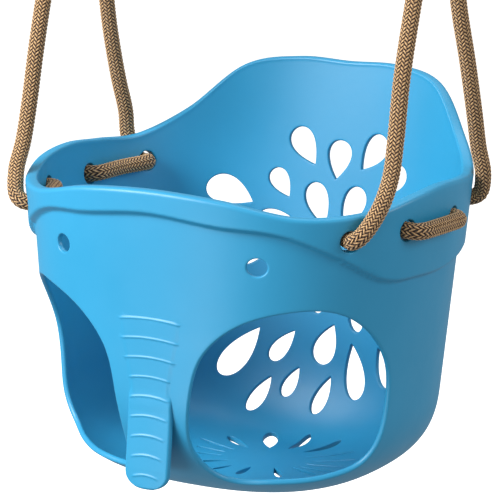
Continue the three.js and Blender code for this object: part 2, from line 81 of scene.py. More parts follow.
LEG_OUTLINE = (
    (72, 85), (71, 127), (60, 165), (46, 181), (28, 172), (16, 142),
    (12, 97), (12, 55), (20, 30), (36, 29), (53, 32), (66, 45),
)
EYE = (30.0, 217.5)
EYE_SIZE = (17.0, 14.8)
ROPE_HOLES = ((53.3, 237.8), (72.0, 240.0), (97.2, 238.4), (121.2, 240.2))
ROPE_HOLE_DIAMETER = 17.5

# Drops through the back wall: x and height of the round end, of the tip, and the width
BACK_DROPS = (
    (-113, 219, -77, 202, 24), (113, 219, 77, 202, 24),
    (-61, 231.5, -45, 208, 17), (67, 245, 50, 219, 19),
    (-44, 268, -23, 238, 22), (44, 268, 23, 238, 22), (1.5, 261, -2, 227, 23),
    (-24, 222, -9, 185, 22), (24, 222, 9, 185, 22),
    (-74, 183, -33, 184.5, 26), (74, 183, 33, 184.5, 26),
    (-92, 151, -56, 163.5, 17.2), (92, 151, 56, 163.5, 17.2),
    (-10.5, 109.6, -5, 138, 14), (33.5, 98.3, 24, 128, 13.5),
    (-90, 51, -61.5, 92, 22), (98, 62, 80, 100, 20),
    (-49.5, 65, -28.7, 92, 15), (-3.5, 66.5, 9, 101.5, 22),
    (-59, 23.5, -46, 51, 14), (-32, 36, -21, 61, 13), (0.5, 25.5, 11, 57, 14),
    (39.5, 41.5, 28.5, 87.5, 20.5), (73, 57, 56.5, 88, 18),
)
DROP_BELLY = 0.77
# Slots round the floor's middle: angle, from radius, to radius, width
FLOOR_SLOTS = (
    (8, 38, 80, 3), (27, 32, 74, 3), (54, 32, 69, 8), (84, 29, 62, 8),
    (118, 28, 62, 13), (154, 32, 63, 8), (175, 36, 73, 3), (190, 40, 66, 3),
    (204, 40, 62, 3), (225, 36, 62, 5), (249, 40, 62, 4), (273, 34, 60, 6),
    (308, 34, 64, 6), (331, 38, 76, 4), (341, 40, 80, 3), (353, 38, 80, 3),
)

# Ribbed tongue: (depth in front of the origin, height) of its front face
TONGUE_FRONT = ((166.5, 28), (165.2, 45), (162.2, 70), (160.0, 92), (159.4, 112), (159.4, 176))
TONGUE_END = 28.0
TONGUE_TOP = 176.0
TONGUE_HALF_WIDTH = 20.5
TONGUE_TOP_HALF_WIDTH = 34.0
TONGUE_THICKNESS = 6.0
RIDGE_TOP = 168.5
RIDGE_PITCH = 16.0
RIDGE_WIDTHS = (62, 58, 53, 45, 40, 37, 34, 31, 27)
RIDGE_PROUD = 0.65
RIDGE_HALF_THICKNESS = 0.9
RIDGE_ARCH = 3.0
RIDGE_FADE = 3.5  # length over which a ridge runs out at each end
TONGUE_ROWS = 300
TONGUE_COLUMNS = 48
TONGUE_END_LENGTH = 15.0
TONGUE_END_POWER = 2.4
TONGUE_END_LEAST = 0.3  # share of its width that the tongue keeps at the very end
TONGUE_WIDENS = (104, 64)  # height where it starts to widen, and over what height
TONGUE_JOINS = (96, 16)  # the same for where it joins the post
TONGUE_FADES = (166, 10)  # and for where its top sinks into the panel
TONGUE_SINKS = 1.4
TONGUE_SIDES_SINK = 1.3
TONGUE_SIDES_FROM = 0.72
TONGUE_EDGE = 2.6
TONGUE_LOW_EDGE = 3.0
TONGUE_CROWN = 0.9
TONGUE_LEAST = 0.4
PANEL_DEPTH = 159.0
PANEL_WIDTH_HEIGHT = 125.0
PANEL_PROUD = 0.35
PANEL_SUNK = 3.2

# Ropes and fittings
ROPE_DIAMETER = 14.0
RING_X = 170.0
RING_Y = 16.6
RING_HEIGHT = 560.3
RING_RADIUS = 20.0
RING_WIRE = 6.0
LINK_WIRE = 8.0
LINK_LENGTH = 66.0
LINK_WIDTH = 26.0
LINK_GAP = (7.4, 15.0)
SLEEVE_FLATS = 13.0
SLEEVE_SPAN = (-7.6, 19.4)
LUG_START = 11.5
LUG_WIDTH = 17.0
LUG_THICKNESS = 6.0
LUG_HOLE_RADIUS = 4.2
BARREL_SPAN = (42.0, 82.0)
BARREL_RADIUS = 11.0
SEAT_GAP = 0.3
LINK_STEPS = 420
LINK_SIDES = 28
THREAD_DEPTH = 0.28
THREAD_PITCH = 1.25
THREAD_LENGTH = 9
LINK_TIP_BEVEL = 0.7
LINK_TIP_LENGTH = 0.8
SLEEVE_SIDES = 72
SLEEVE_CORNER_WEAR = 0.25
SLEEVE_FLATS_FROM = 3.4
SLEEVE_FLAT_ROWS = 9
SLEEVE_END_ROWS = ((0.0, 4.4), (0.0, 5.4), (0.25, 5.75), (2.0, 6.9), (2.6, 7.3))
SLEEVE_BORE = (0.5, 4.3)
SLEEVE_SHARP_DEGREES = 28
RING_STEPS = 120
RING_SIDES = 24
WELD_DEGREES = 200
WELD_RISE = 0.22
WELD_WIDTH = 1.6
BARREL_SIDES = 48
GROOVE_PITCH = 5.6
GROOVE_ROWS = ((-1.6, 0.0), (-0.9, 0.5), (0.0, 0.8), (0.9, 0.5), (1.6, 0.0))
MOUTH_DEPTH = 3.2
MOUTH_GAP = 0.35
AXIS_RADIUS = 0.01
LUG_STEPS = 28
LUG_HOLE_SIDES = 32
LUG_BEVEL = 0.8
LUG_IN_BARREL = 1.5
LUG_HALF_LENGTH = 15
TERMINAL_SHARP_DEGREES = 35
HINGE_HEIGHT = RING_HEIGHT + RING_RADIUS - RING_WIRE / 2 - SEAT_GAP - LINK_WIRE / 2
LINK_HEIGHT = HINGE_HEIGHT + LINK_LENGTH / 2

# Middle of the right rope between its two terminals, in millimetres
ROPE_ROUTE = (
    (172, -42, 410), (172, -57.5, 360), (172.8, -68, 315), (173, -77.5, 284), (170.6, -92.4, 261.3),
    (162.3, -104.4, 243), (156.7, -105, 238.9), (150.9, -102.1, 237.6), (145.6, -98.2, 238),
    (141.6, -91.9, 238.5), (143.2, -85, 239), (150.7, -71, 239.9), (156.3, -56.5, 240.6),
    (160.5, -50.7, 240.7), (167.5, -49.5, 240.3), (174.7, -51.1, 239.7), (181.7, -50, 239),
    (185.8, -44.1, 238.6), (187.6, -28.2, 238.3), (188.6, -3.2, 237.7), (188.6, 12.1, 237.4),
    (185.5, 18.4, 237.5), (178.8, 20.7, 238), (171.4, 20.2, 238.7), (164.7, 22.5, 239.4),
    (161.6, 28.9, 239.8), (157.3, 51.5, 240.6), (149.4, 73.4, 241.2), (148.8, 80.5, 241.2),
    (153.6, 86.3, 240.6), (159.4, 89.5, 239.8), (165.4, 92, 241), (169.7, 92.7, 244.7),
    (174, 88.3, 261.5), (172.3, 82, 285), (173, 72, 315), (172.5, 58.5, 360), (170, 45.5, 410),
)

# Braid: strands each way, length of one turn, and the strand's own section
BRAID_STRANDS = 14
BRAID_PITCH = 46.0
STRAND_RADIUS = 5.8
STRAND_WAVE = 0.42
STRAND_HALF_WIDTH = 0.96
STRAND_HALF_THICKNESS = 0.78
STRAND_SIDES = 5
STRAND_STEP = 1.3
STRAND_CROSSOVER = 1.7  # how abruptly a strand goes from over to under
STRAND_STARTS = {1: 0.5, -1: 2.5}  # where the wave of each way's strands starts
STRAND_MARK = 37  # keeps the fibres of two strands, and of the two ways, from matching
WAY_MARK = 19
CORE_MARK = -5.0  # what the core carries in place of a strand's mark, so that it takes the darkest painted shade, standing in for the shade in the gaps between strands
CORE_RADIUS = 4.9
CORE_SIDES = 12
ROPE_IN_BARREL = 2.0
CORD_PATH_STEP = 4
CURVE_STEPS = 24

# Net of the bucket's mesh
GRID_SPACING = 4.8
RIM_COLUMNS = 240
BORDER_ROWS = (-9.5, -7.5, -6.0, -4.8, -3.6, -2.4, -1.2, 0.0, 1.5)  # from the band's border
BAND_ROWS = 12
PROFILE_STEPS = 240
FLAT_X_SPAN = (-10, 10)
FLAT_Y_SPAN = (4, 69)
FLAT_SPACING = 5.0
CLEAR_OF_RINGS = 0.42  # share of the spacing that the net keeps from a hole's last ring
CHART_HEIGHT = 160.0  # the flat map of the bowl opens out by a factor of e over this height
NORMAL_STEP = 0.02
LYING_NORMAL = 0.7  # a point lies on the floor when its normal points down by more than this
HEIGHT_SEARCHES = 40
SETTLE_ROUNDS = 3
SMALL = 1e-6
RIM_OUTER_ANGLES = (15, 30, 45, 60, 75, 90)
RIM_INNER_ANGLES = (90, 60, 30, 0)
BUCKET_SHARP_DEGREES = 42

# Rounded edge of each kind of hole, and the width of the ring round it
LEG_EDGE = (2.0, 2.0)
EYE_EDGE = (1.3, 1.4)
ROPE_HOLE_EDGE = (1.2, 1.4)
DROP_EDGE = (1.2, 1.2)
SLOT_EDGE = (0.7, 1.0)
FILLET_STEPS = (0.0, 0.12, 0.4, 0.75, 1.0)
ROUND_HOLE_POINTS = 40
DROP_POINTS = 96
LEG_CURVE_STEPS = 12
LEG_STEP = 3.0
DROP_STEP = 2.0
SLOT_STEP = 1.6

# ------------------------ placing and mesh helpers

mounts = {mount["name"]: mount for mount in frame["record"]["mounts"]}
SHIFT = np.array(mounts["seat_floor"]["pos_m"]) - np.array((*FLOOR_CENTRE, WALL)) / 1000


def place(points):
    """Metres in the frame, from millimetres above the underside."""
    return np.asarray(points, dtype=float) / 1000 + SHIFT


def mesh_object(name, points, faces):
    mesh = bpy.data.meshes.new(name)
    mesh.from_pydata(place(points).tolist(), [], faces)
    mesh.validate()
    mesh.update()
    mesh.shade_smooth()
    piece = bpy.data.objects.new(name, mesh)
    bpy.context.scene.collection.objects.link(piece)
    return piece


def loop_faces(first, second, count, turned=False):
    """Quads between two closed loops of points that match one to one."""
    faces = []
    for k in range(count):
        n = (k + 1) % count
        face = (first + k, first + n, second + n, second + k)
        faces.append(face[:1] + face[:0:-1] if turned else face)
    return faces


def wrapped_faces(rows, sides):
    """Quads of a body whose last row of points joins its first."""
    faces = []
    for k in range(rows):
        faces += loop_faces(k * sides, (k + 1) % rows * sides, sides)
    return faces


def joined_mesh(piece, other, solver):
    """Mesh of the two bodies as one; the other one is removed."""
    union = piece.modifiers.new("join", "BOOLEAN")
    union.operation = "UNION"
    union.solver = solver
    union.object = other
    depsgraph = bpy.context.evaluated_depsgraph_get()
    mesh = bpy.data.meshes.new_from_object(piece.evaluated_get(depsgraph))
    piece.modifiers.clear()
    piece.data = mesh
    bpy.data.objects.remove(other)
    mesh.shade_smooth()
    return mesh


def unit(vectors):
    vectors = np.asarray(vectors, dtype=float)
    return vectors / np.linalg.norm(vectors, axis=-1, keepdims=True)


def turns(count):
    """Angles of equal steps round a circle."""
    return np.linspace(0, 2 * math.pi, count, endpoint=False)


def smooth_step(t):
    t = np.clip(t, 0, 1)
    return t * t * (3 - 2 * t)


def smooth_table(table, degrees):
    """Cubic curve through the table with level ends, the same on both sides."""
    angles = np.array([row[0] for row in table], dtype=float)
    heights = np.array([row[1] for row in table], dtype=float)
    slopes = np.zeros_like(heights)
    slopes[1:-1] = (heights[2:] - heights[:-2]) / (angles[2:] - angles[:-2])
    at = np.minimum(np.abs(degrees), 180)
    k = np.clip(np.searchsorted(angles, at, side="right") - 1, 0, len(angles) - 2)
    span = angles[k + 1] - angles[k]
    t = (at - angles[k]) / span
    blend = t * t * (3 - 2 * t)
    ease = t * (1 - t) * span * ((1 - t) * slopes[k] - t * slopes[k + 1])
    return heights[k] * (1 - blend) + heights[k + 1] * blend + ease


def rim_height(degrees):
    return smooth_table(RIM_HEIGHTS, degrees)


def border_height(degrees):
    return smooth_table(BORDER_HEIGHTS, degrees)


# ------------------------ bucket surface

def depth_at(size, height):
    floor, side, corner, draft = size
    u = np.clip(1 - height / corner, 0, 1)
    return floor + (side - floor) * (1 - u ** CORNER_POWER) ** (1 / CORNER_POWER) + draft * height


def half_sizes(in_front, height):
    """Half width and depth at a height, and the power of the plan's curve."""
    deep = np.where(in_front, depth_at(FRONT_DEPTH, height), depth_at(BACK_DEPTH, height))
    return depth_at(HALF_WIDTH, height), deep, np.where(in_front, FRONT_PLAN_POWER, BACK_PLAN_POWER)


def face_point(degrees, height):
    """Point of the outer face at an angle from the front and a height."""
    angle = np.radians(degrees)
    s, c = np.sin(angle), np.cos(angle)
    wide, deep, power = half_sizes(c > 0, height)
    radius = (np.abs(s) ** power + np.abs(c) ** power) ** (-1 / power)
    return np.stack([wide * s * radius, -deep * c * radius, height + 0 * s], -1)


def face_normal(degrees, height):
    across = face_point(degrees + NORMAL_STEP, height) - face_point(degrees - NORMAL_STEP, height)
    step = np.clip(height / 2, NORMAL_STEP / 200, NORMAL_STEP)
    up = face_point(degrees, height + step) - face_point(degrees, height - step)
    normal = unit(np.cross(across, up))
    normal[height < NORMAL_STEP / 20] = (0, 0, -1)
    return normal


def floor_height(x, y):
    """Height of the bowl's outside over a point of the plan, 0 on its flat middle."""
    def inside(height):
        wide, deep, power = half_sizes(y < 0, height)
        across = np.abs(x) / np.maximum(wide, SMALL)
        return across ** power + (np.abs(y) / np.maximum(deep, SMALL)) ** power <= 1

    low = np.zeros_like(x)
    high = np.full_like(x, max(height for _, height in RIM_HEIGHTS), dtype=float)
    flat = inside(low)
    for _ in range(HEIGHT_SEARCHES):
        middle = (low + high) / 2
        within = inside(middle)
        high = np.where(within, middle, high)
        low = np.where(within, low, middle)
    return np.where(flat, 0.0, high)


class Skin:
    """Points of the outer surface with their normals and the band's lift."""

    def __init__(self, base, normal, lift):
        self.base = base
        self.normal = normal
        self.lift = lift
        self.dent = np.zeros(len(base))

    def chart(self):
        """Flat map of the bowl: the plan, opened out with height."""
        plan = self.base[:, :2] - FLOOR_CENTRE
        return plan * np.exp(self.base[:, 2:] / CHART_HEIGHT)

    def outer(self):
        return self.base + self.normal * (self.lift - self.dent)[:, None]

    def inner(self):
        return self.base - self.normal * (WALL - self.dent)[:, None]


def band_lift(degrees, height):
    border = border_height(degrees)
    return BAND * smooth_step((height - border + BAND_STEP) / BAND_STEP)


def on_wall(degrees, height):
    degrees, height = np.broadcast_arrays(np.asarray(degrees, float), np.asarray(height, float))
    return Skin(face_point(degrees, height), face_normal(degrees, height), band_lift(degrees, height))


def angle_of(x, y, height):
    wide, deep, _ = half_sizes(y < 0, height)
    return np.degrees(np.arctan2(x / wide, -y / np.maximum(deep, SMALL)))


def on_bowl(points, normals):
    """Skin points nearest to some points close to it: by plan on the floor, by height on the wall."""
    x, y, height = points.T
    lying = np.abs(normals[:, 2]) > LYING_NORMAL
    height = np.where(lying, floor_height(x, y), np.maximum(height, 0.01))
    degrees = angle_of(x, y, height)
    skin = on_wall(degrees, height)
    flat = lying & (height < SMALL)
    skin.base[flat] = np.stack([x, y, 0 * x], -1)[flat]
    skin.normal[flat] = (0, 0, -1)
    skin.lift[flat] = 0
    return skin


# ------------------------ hole outlines

def even_steps(outline, step, points=None):
    """Closed outline cut into equal steps, in the length of its true points where they are given."""
    points = outline if points is None else points
    lengths = np.linalg.norm(np.diff(np.vstack([points, points[:1]]), axis=0), axis=1)
    along = np.concatenate([[0], np.cumsum(lengths)])
    count = max(12, int(round(along[-1] / step)))
    at = np.arange(count) * along[-1] / count
    closed = np.vstack([outline, outline[:1]])
    return np.stack([np.interp(at, along, closed[:, k]) for k in (0, 1)], -1)


def closed_curve(points, steps):
    """Closed smooth curve through its points."""
    points = np.asarray(points, dtype=float)
    rows = []
    for a, b, c, d in zip(np.roll(points, 1, 0), points, np.roll(points, -1, 0), np.roll(points, -2, 0)):
        for t in np.arange(steps) / steps:
            bend = (2 * a - 5 * b + 4 * c - d) * t + (3 * b - a - 3 * c + d) * t * t
            rows.append(b + 0.5 * t * ((c - a) + bend))
    return np.array(rows)


def drop_outline(x_round, y_round, x_tip, y_tip, width):
    tip = np.array((x_tip, y_tip), dtype=float)
    axis = np.array((x_round, y_round), dtype=float) - tip
    side = np.array((-axis[1], axis[0])) / np.linalg.norm(axis)
    angle = turns(DROP_POINTS)[:, None]
    aside = width / 2 / DROP_BELLY * np.sin(angle) * np.sin(angle / 2)
    return tip + axis * (0.5 - 0.5 * np.cos(angle)) + side * aside


def leg_loop(side):
    outline = closed_curve(LEG_OUTLINE, LEG_CURVE_STEPS) * (side, 1)
    return on_wall(*even_steps(outline, LEG_STEP, face_point(*outline.T)).T)


def round_loop(degrees, height, width, tall, count):
    """Round or oval outline square to the wall."""
    middle = on_wall([degrees], [height])
    right = unit(np.cross((0, 0, 1), middle.normal[0]))
    up = np.cross(middle.normal[0], right)
    angle = turns(count)[:, None]
    points = middle.base[0] + width / 2 * np.cos(angle) * right + tall / 2 * np.sin(angle) * up
    return on_bowl(points, np.repeat(middle.normal, count, 0))


def back_wall_depth(x, height):
    """How far back the outer face stands at a place of the back wall."""
    share = (np.abs(x) / depth_at(HALF_WIDTH, height)) ** BACK_PLAN_POWER
    return depth_at(BACK_DEPTH, height) * (1 - share) ** (1 / BACK_PLAN_POWER)


def back_loop(drop):
    """Drop on the back wall, as it reads on the inside."""
    outline = even_steps(drop_outline(*drop), DROP_STEP)
    x, height = outline.T.copy()
    for _ in range(SETTLE_ROUNDS):
        normal = face_normal(angle_of(x, back_wall_depth(x, height), height), height)
        x = outline[:, 0] + WALL * normal[:, 0]
        height = outline[:, 1] + WALL * normal[:, 2]
    return on_wall(angle_of(x, back_wall_depth(x, height), height), height)


def floor_loop(slot):
    degrees, start, end, width = slot
    direction = np.array((math.cos(math.radians(degrees)), math.sin(math.radians(degrees))))
    outer_end, inner_end = (np.array(FLOOR_CENTRE) + direction * r for r in (end, start))
    outline = even_steps(drop_outline(*outer_end, *inner_end, width), SLOT_STEP)
    points = np.column_stack([outline, np.zeros(len(outline))])
    down = np.tile((0.0, 0.0, -1.0), (len(outline), 1))
    for _ in range(SETTLE_ROUNDS):
        skin = on_bowl(points, down)
        points[:, :2] = outline + WALL * skin.normal[:, :2]
    return on_bowl(points, down)


def hole_rings(loop, fillet, margin):
    """Rings from a hole's outline outwards: its rounded edge, then one flat ring."""
    count = len(loop.base)
    if chart_area(loop.chart()) < 0:
        loop = Skin(loop.base[::-1].copy(), loop.normal[::-1].copy(), loop.lift[::-1].copy())
    tangent = unit(np.roll(loop.base, -1, 0) - np.roll(loop.base, 1, 0))
    outward = unit(np.cross(loop.normal, tangent))
    if np.sum(outward * (loop.base - loop.base.mean(0))) < 0:
        outward = -outward
    rings = []
    for distance in [step * fillet for step in FILLET_STEPS] + [fillet + margin]:
        ring = on_bowl(loop.base + outward * distance, loop.normal) if distance else loop
        inset = max(fillet - distance, 0)
        ring.dent = np.full(count, fillet - math.sqrt(fillet ** 2 - inset ** 2))
        rings.append(ring)
    return rings


def chart_area(points):
    x, y = points.T
    return 0.5 * np.sum(x * np.roll(y, -1) - np.roll(x, -1) * y)


def inside_loop(points, loop):
    """Which points of the chart lie in a closed loop."""
    x, y = points[:, 0:1], points[:, 1:2]
    x1, y1 = loop.T
    x2, y2 = np.roll(x1, -1), np.roll(y1, -1)
    level = (y1 > y) != (y2 > y)
    with np.errstate(divide="ignore", invalid="ignore"):
        crossing = x1 + (y - y1) * (x2 - x1) / (y2 - y1)
    return np.count_nonzero(level & (x < crossing), axis=1) % 2 == 1


# ------------------------ bucket mesh

def background_points():
    """Rows of points over the whole bowl, close together across the band's step."""
    skins = []
    columns = np.arange(RIM_COLUMNS) * 360 / RIM_COLUMNS - 180
    for rise in BORDER_ROWS:
        skins.append(on_wall(columns, border_height(columns) + rise))
    lowest = border_height(columns) + BORDER_ROWS[-1]
    highest = rim_height(columns) - RIM_ROUND
    for k in range(1, BAND_ROWS):
        skins.append(on_wall(columns, lowest + (highest - lowest) * k / BAND_ROWS))
    fine = np.linspace(0, 1, PROFILE_STEPS) ** 2
    angles = np.arange(-180, 181, 1.0)
    top = border_height(angles) + BORDER_ROWS[0]
    grid = face_point(angles[:, None], top[:, None] * fine[None, :])
    climbed = np.cumsum(np.linalg.norm(np.diff(grid, axis=1), axis=2), axis=1)
    along = np.concatenate([np.zeros((len(angles), 1)), climbed], axis=1)
    rows = int(along[:, -1].max() / GRID_SPACING)
    for k in range(1, rows):
        part = k / rows
        heights = np.array([np.interp(part * s[-1], s, fine) for s in along]) * top
        line = face_point(angles, heights)
        perimeter = np.sum(np.linalg.norm(np.diff(line, axis=0), axis=1))
        count = max(16, int(perimeter / GRID_SPACING))
        degrees = (np.arange(count) + 0.5 * (k % 2)) * 360 / count - 180
        skins.append(on_wall(degrees, np.interp(degrees, angles, heights)))
    spans = (FLAT_X_SPAN, FLAT_Y_SPAN)
    x, y = np.meshgrid(*(np.arange(low, high + 1, FLAT_SPACING) for low, high in spans))
    points = np.column_stack([x.ravel(), y.ravel(), np.zeros(x.size)])
    skins.append(on_bowl(points, np.tile((0.0, 0.0, -1.0), (x.size, 1))))
    return skins


def join_skins(skins):
    keys = ("base", "normal", "lift")
    joined = Skin(*(np.concatenate([getattr(s, key) for s in skins]) for key in keys))
    joined.dent = np.concatenate([s.dent for s in skins])
    return joined


def bucket_holes():
    """Rings round every opening of the bucket."""
    holes = []
    for side in (-1, 1):
        holes.append(hole_rings(leg_loop(side), *LEG_EDGE))
        eye = round_loop(side * EYE[0], EYE[1], *EYE_SIZE, ROUND_HOLE_POINTS)
        holes.append(hole_rings(eye, *EYE_EDGE))
        size = (ROPE_HOLE_DIAMETER, ROPE_HOLE_DIAMETER)
        for degrees, height in ROPE_HOLES:
            loop = round_loop(side * degrees, height, *size, ROUND_HOLE_POINTS)
            holes.append(hole_rings(loop, *ROPE_HOLE_EDGE))
    for drop in BACK_DROPS:
        holes.append(hole_rings(back_loop(drop), *DROP_EDGE))
    for slot in FLOOR_SLOTS:
        holes.append(hole_rings(floor_loop(slot), *SLOT_EDGE))
    return holes


def clear_of_holes(ground, holes):
    """The background points that stand clear of every hole and its rings."""
    chart = ground.chart()
    edge_points = np.concatenate([rings[-1].base for rings in holes])
    tree = KDTree(len(edge_points))
    for k, point in enumerate(edge_points):
        tree.insert(point, k)
    tree.balance()
    near = np.array([tree.find(point)[2] for point in ground.base])
    keep = near > CLEAR_OF_RINGS * GRID_SPACING
    for rings in holes:
        keep &= ~inside_loop(chart, rings[-1].chart())
    return Skin(ground.base[keep], ground.normal[keep], ground.lift[keep])


def net_triangles(net, loop_of, edges):
    """Triangles between the net's points, none of them across a hole, all turned one way."""
    chart = net.chart()
    found = delaunay_2d_cdt([Vector(point) for point in chart], edges, [], 0, 1e-7)
    if len(found[0]) != len(chart):
        raise SystemExit("the bucket's net has crossing outlines")
    triangles = np.array([[found[3][v][0] for v in face] for face in found[2]])
    loops = loop_of[triangles]
    across = (loops == loops[:, :1]).all(axis=1) & (loops[:, 0] >= 0)
    triangles = triangles[~across]
    (ax, ay), (bx, by), (cx, cy) = (chart[triangles[:, k]].T for k in range(3))
    turned = (bx - ax) * (cy - ay) - (cx - ax) * (by - ay) < 0
    triangles[turned] = triangles[turned][:, ::-1]
    return triangles.tolist()


def rim_rows(rim_row):
    """Rows of points over the rim's top, from its outer face to its inner face."""
    side = unit(rim_row.normal * (1, 1, 0))
    rows = []
    for angle in np.radians(RIM_OUTER_ANGLES):
        out = BAND - RIM_ROUND * (1 - math.cos(angle))
        rows.append(rim_row.base + side * out + (0, 0, RIM_ROUND * math.sin(angle)))
    inner_top = RIM_ROUND - RIM_INNER_ROUND
    for angle in np.radians(RIM_INNER_ANGLES):
        out = -WALL + RIM_INNER_ROUND * (1 - math.cos(angle))
        rows.append(rim_row.base + side * out + (0, 0, inner_top + RIM_INNER_ROUND * math.sin(angle)))
    return rows


def bucket_wall():
    """Both faces of the wall on one net of triangles, closed round every hole and the rim."""
    columns = np.arange(RIM_COLUMNS) * 360 / RIM_COLUMNS - 180
    rim_row = on_wall(columns, rim_height(columns) - RIM_ROUND)
    holes = bucket_holes()
    ground = clear_of_holes(join_skins(background_points()), holes)
    net = join_skins([rim_row, ground] + [rings[-1] for rings in holes])
    loop_of = np.full(len(net.base), -1)
    loop_of[:RIM_COLUMNS] = 0
    edges = [(k, (k + 1) % RIM_COLUMNS) for k in range(RIM_COLUMNS)]
    start = RIM_COLUMNS + len(ground.base)
    ring_start = []
    for number, rings in enumerate(holes, start=1):
        count = len(rings[-1].base)
        loop_of[start:start + count] = number
        edges += [(start + k, start + (k + 1) % count) for k in range(count)]
        ring_start.append(start)
        start += count
    faces = net_triangles(net, loop_of, edges)

    # Rounded edges: strips of rings from each outline out to the net
    parts = [net]
    total = len(net.base)
    outlines = []
    for rings, outer_start in zip(holes, ring_start):
        count = len(rings[0].base)
        starts = []
        for ring_skin in rings[:-1]:
            parts.append(ring_skin)
            starts.append(total)
            total += count
        starts.append(outer_start)
        outlines.append((starts[0], count))
        for a, b in zip(starts[:-1], starts[1:]):
            faces += loop_faces(a, b, count, turned=True)
    skin = join_skins(parts)

    # Inner and outer face, joined through every hole and over the rim
    layer = len(skin.base)
    faces += [tuple(layer + v for v in reversed(face)) for face in faces]
    for first, count in outlines:
        faces += loop_faces(layer + first, first, count, turned=True)
    rows = rim_rows(rim_row)
    starts = [layer] + [2 * layer + RIM_COLUMNS * k for k in range(len(rows))] + [0]
    for a, b in zip(starts[:-1], starts[1:]):
        faces += loop_faces(a, b, RIM_COLUMNS)
    return np.concatenate([skin.inner(), skin.outer(), *rows]), faces


# ------------------------ ribbed tongue

def tongue_depth(height):
    depths = [row[0] for row in TONGUE_FRONT]
    heights = [row[1] for row in TONGUE_FRONT]
    return np.interp(height, heights, depths)


def ridge_rise(x, height):
    """Height of the raised bars at a place of the tongue's face."""
    rise = np.zeros_like(x)
    for k, width in enumerate(RIDGE_WIDTHS):
        half = width / 2
        middle = RIDGE_TOP - RIDGE_PITCH * k - RIDGE_ARCH * (x / half) ** 2
        body = np.exp(-((height - middle) / RIDGE_HALF_THICKNESS) ** 2)
        rise = np.maximum(rise, body * smooth_step((half - np.abs(x)) / RIDGE_FADE))
    return RIDGE_PROUD * rise


def ramp_up(value, span):
    """0 below the span's start, 1 above its end, smooth between."""
    start, length = span
    return smooth_step((value - start) / length)


def rounding(inset, radius):
    """How far a rounded edge falls away, by how deep a place lies inside its radius."""
    return radius - np.sqrt(radius ** 2 - inset ** 2)


def tongue_mesh():
    rows, columns = TONGUE_ROWS, TONGUE_COLUMNS
    heights = np.linspace(TONGUE_END, TONGUE_TOP, rows)
    from_end = np.clip(1 - (heights - TONGUE_END) / TONGUE_END_LENGTH, 0, 1)
    round_part = np.sqrt(np.clip(1 - from_end ** TONGUE_END_POWER, 0, 1))
    half = TONGUE_HALF_WIDTH + (TONGUE_TOP_HALF_WIDTH - TONGUE_HALF_WIDTH) * ramp_up(heights, TONGUE_WIDENS)
    half = (half * np.maximum(round_part, TONGUE_END_LEAST))[:, None]
    x = np.sin(np.linspace(-math.pi / 2, math.pi / 2, columns)) * half
    height = np.repeat(heights[:, None], columns, 1)

    # Rounded edges of the free part
    inset = np.clip(TONGUE_EDGE - (half - np.abs(x)), 0, TONGUE_EDGE)
    below = np.clip(TONGUE_LOW_EDGE - (height - TONGUE_END), 0, TONGUE_LOW_EDGE)
    edge = np.maximum(rounding(inset, TONGUE_EDGE), rounding(below, TONGUE_LOW_EDGE))

    # Front and back: free at the lower end, on the bucket's panel above
    wide = depth_at(HALF_WIDTH, np.full_like(x, PANEL_WIDTH_HEIGHT))
    panel = PANEL_DEPTH * (1 - (np.abs(x) / wide) ** FRONT_PLAN_POWER) ** (1 / FRONT_PLAN_POWER)
    free = tongue_depth(height)
    joined = ramp_up(height, TONGUE_JOINS)
    sunk = TONGUE_SINKS * ramp_up(height, TONGUE_FADES)
    side_span = (TONGUE_SIDES_FROM, 1 - TONGUE_SIDES_FROM)
    sunk = sunk + TONGUE_SIDES_SINK * joined * ramp_up(np.abs(x) / half, side_span)
    crown = TONGUE_CROWN * (1 - (x / half) ** 2)
    front = (free - edge + crown) * (1 - joined) + (panel + PANEL_PROUD) * joined - sunk
    front = front + ridge_rise(x, height)
    back = (free - TONGUE_THICKNESS + edge) * (1 - joined) + (panel - PANEL_SUNK) * joined
    back = np.minimum(back, front - TONGUE_LEAST)

    faces = []
    layer = rows * columns
    for r in range(rows - 1):
        for c in range(columns - 1):
            a = r * columns + c
            faces.append((a, a + 1, a + columns + 1, a + columns))
            faces.append((layer + a, layer + a + columns, layer + a + columns + 1, layer + a + 1))
    border = list(range(columns))
    border += [r * columns + columns - 1 for r in range(1, rows)]
    border += [(rows - 1) * columns + c for c in range(columns - 2, -1, -1)]
    border += [r * columns for r in range(rows - 2, 0, -1)]
    for a, b in zip(border, border[1:] + border[:1]):
        faces.append((b, a, layer + a, layer + b))
    skins = [np.stack([x, -depth, height], -1).reshape(-1, 3) for depth in (front, back)]
    return np.concatenate(skins), faces


def bucket():
    wall = mesh_object("bucket", *bucket_wall())
    tongue = mesh_object("tongue_tool", *tongue_mesh())
    mesh = joined_mesh(wall, tongue, "MANIFOLD")
    mesh.set_sharp_from_angle(angle=math.radians(BUCKET_SHARP_DEGREES))
    return wall


# ------------------------ ropes

